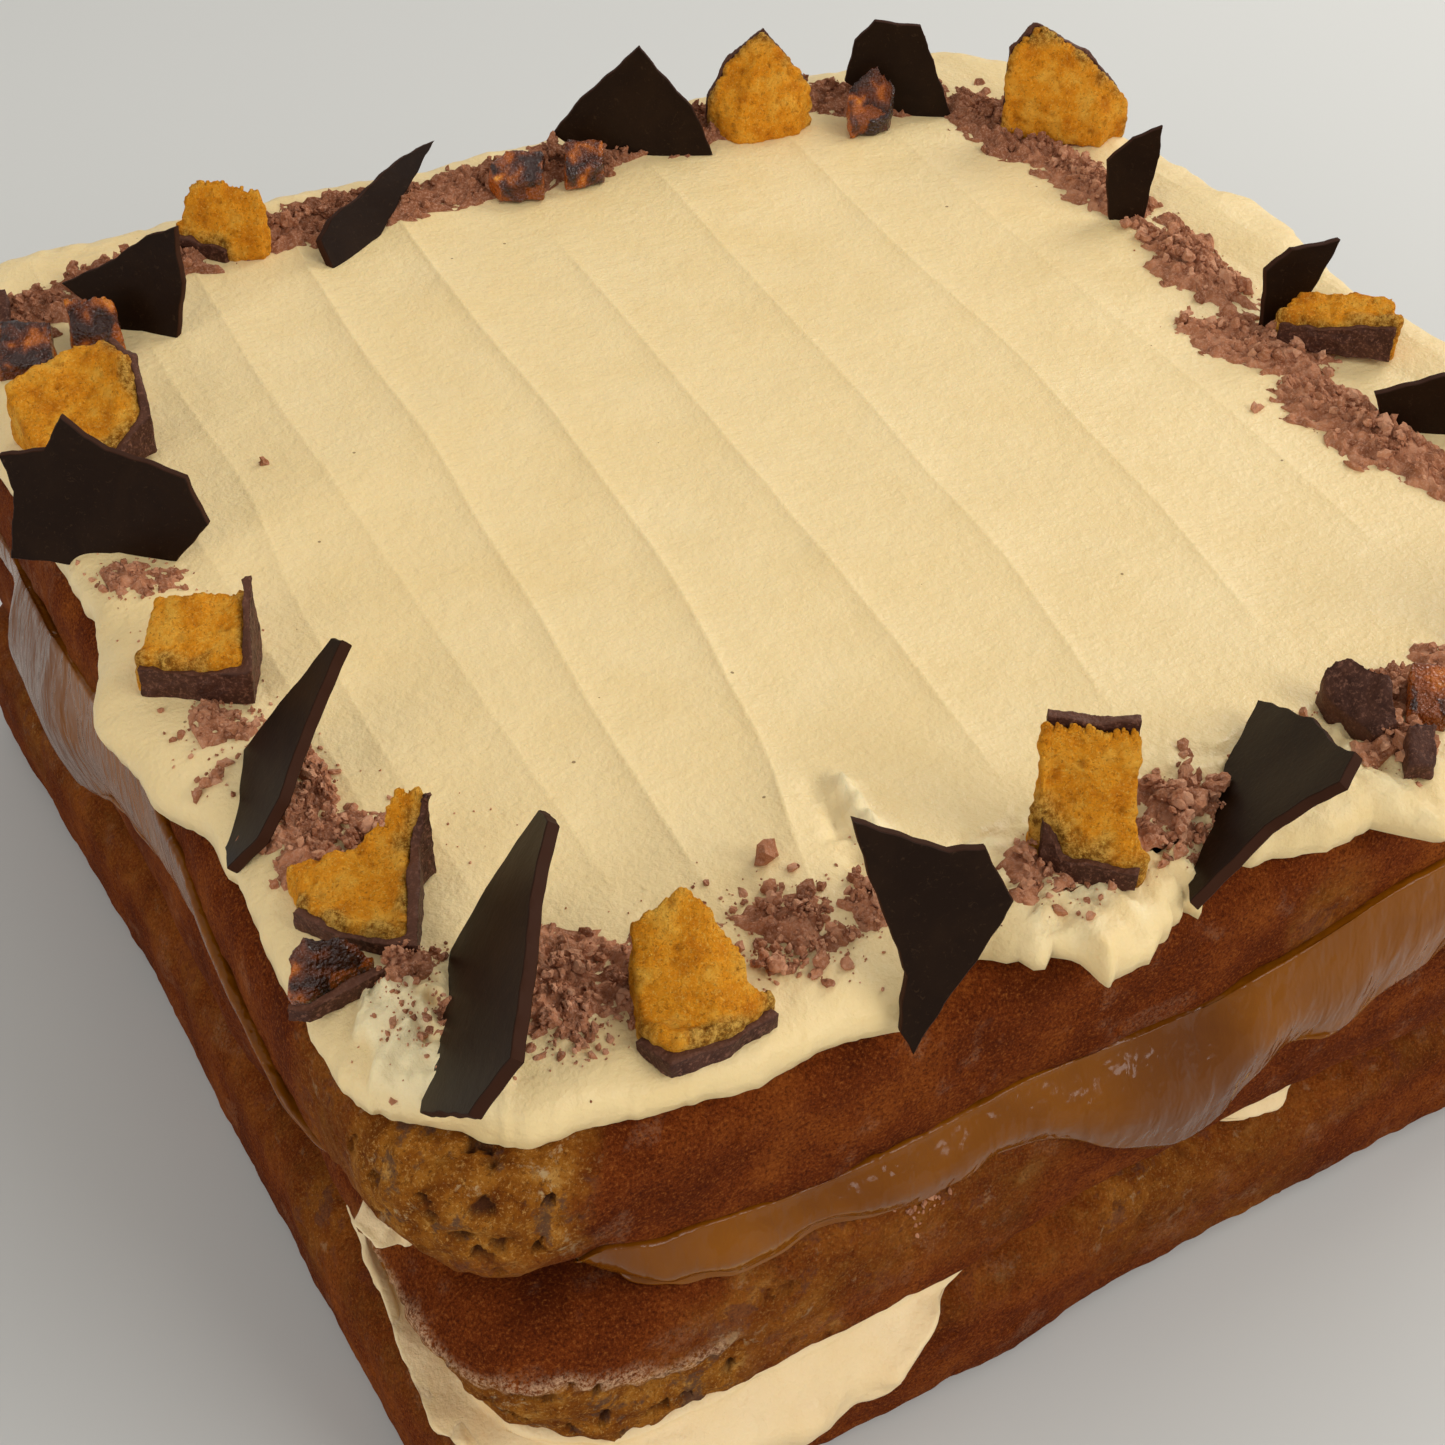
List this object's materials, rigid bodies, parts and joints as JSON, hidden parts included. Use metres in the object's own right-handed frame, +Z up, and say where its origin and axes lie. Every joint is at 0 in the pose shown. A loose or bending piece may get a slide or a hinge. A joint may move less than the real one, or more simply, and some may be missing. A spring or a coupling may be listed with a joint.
{
  "type": "banoffee cake",
  "caption": "Square layered banana sponge with caramel and cream fillings, knife-spread frosting and a border of chocolate shards, honeycomb, toffee and crumbs.",
  "frame": {"origin": "middle of the cake's underside, on the surface that it stands on", "axes": "+Z up, +X along the front edge to the right, +Y from the front edge to the back"},
  "size_m": [0.244, 0.2445, 0.1139],
  "materials": {
    "sponge": "baked banana sponge, matt and porous, brown crust",
    "caramel": "thick caramel, glossy",
    "cream": "whipped filling, satin",
    "frosting": "cream cheese frosting, satin, with milk chocolate crumbs",
    "dark_chocolate": "thin dark chocolate, satin",
    "chocolate_coat": "chocolate coating, matt",
    "honeycomb": "honeycomb toffee, matt and porous",
    "toffee": "hard toffee, glossy"
  },
  "bodies": {
    "root": {"caramel": "caramel", "cream_lower": "cream", "cream_upper": "cream", "frosting": "frosting", "honeycomb_back_left": "honeycomb", "honeycomb_back_left_coat": "chocolate_coat", "honeycomb_back_right": "honeycomb", "honeycomb_back_right_coat": "chocolate_coat", "honeycomb_front": "honeycomb", "honeycomb_front_back_coat": "chocolate_coat", "honeycomb_front_coat": "chocolate_coat", "honeycomb_front_far": "honeycomb", "honeycomb_front_far_coat": "chocolate_coat", "honeycomb_left": "honeycomb", "honeycomb_left_back": "honeycomb", "honeycomb_left_back_coat": "chocolate_coat", "honeycomb_left_coat": "chocolate_coat", "honeycomb_near_front": "honeycomb", "honeycomb_near_front_coat": "chocolate_coat", "honeycomb_near_left": "honeycomb", "honeycomb_near_left_coat": "chocolate_coat", "honeycomb_right": "honeycomb", "honeycomb_right_back": "honeycomb", "honeycomb_right_back_coat": "chocolate_coat", "honeycomb_right_coat": "chocolate_coat", "honeycomb_right_front": "honeycomb", "honeycomb_right_front_coat": "chocolate_coat", "shard_back_middle": "dark_chocolate", "shard_back_thin": "dark_chocolate", "shard_far_corner": "dark_chocolate", "shard_front_dark": "dark_chocolate", "shard_front_far": "dark_chocolate", "shard_front_right": "dark_chocolate", "shard_left_back": "dark_chocolate", "shard_left_front": "dark_chocolate", "shard_left_middle": "dark_chocolate", "shard_near_corner": "dark_chocolate", "shard_right_back": "dark_chocolate", "shard_right_corner": "dark_chocolate", "shard_right_front": "dark_chocolate", "shard_right_leaf": "dark_chocolate", "shard_right_middle": "dark_chocolate", "sponge_bottom": "sponge", "sponge_middle": "sponge", "sponge_top": "sponge", "toffee_back_a": "toffee", "toffee_back_b": "toffee", "toffee_back_right": "toffee", "toffee_front_amber": "toffee", "toffee_front_crumb": "toffee", "toffee_front_dark": "toffee", "toffee_left_back_a": "toffee", "toffee_left_back_b": "toffee", "toffee_left_back_c": "toffee", "toffee_near_left": "toffee", "toffee_near_left_coat": "chocolate_coat", "toffee_right_front": "toffee"}
  },
  "joints": []
}
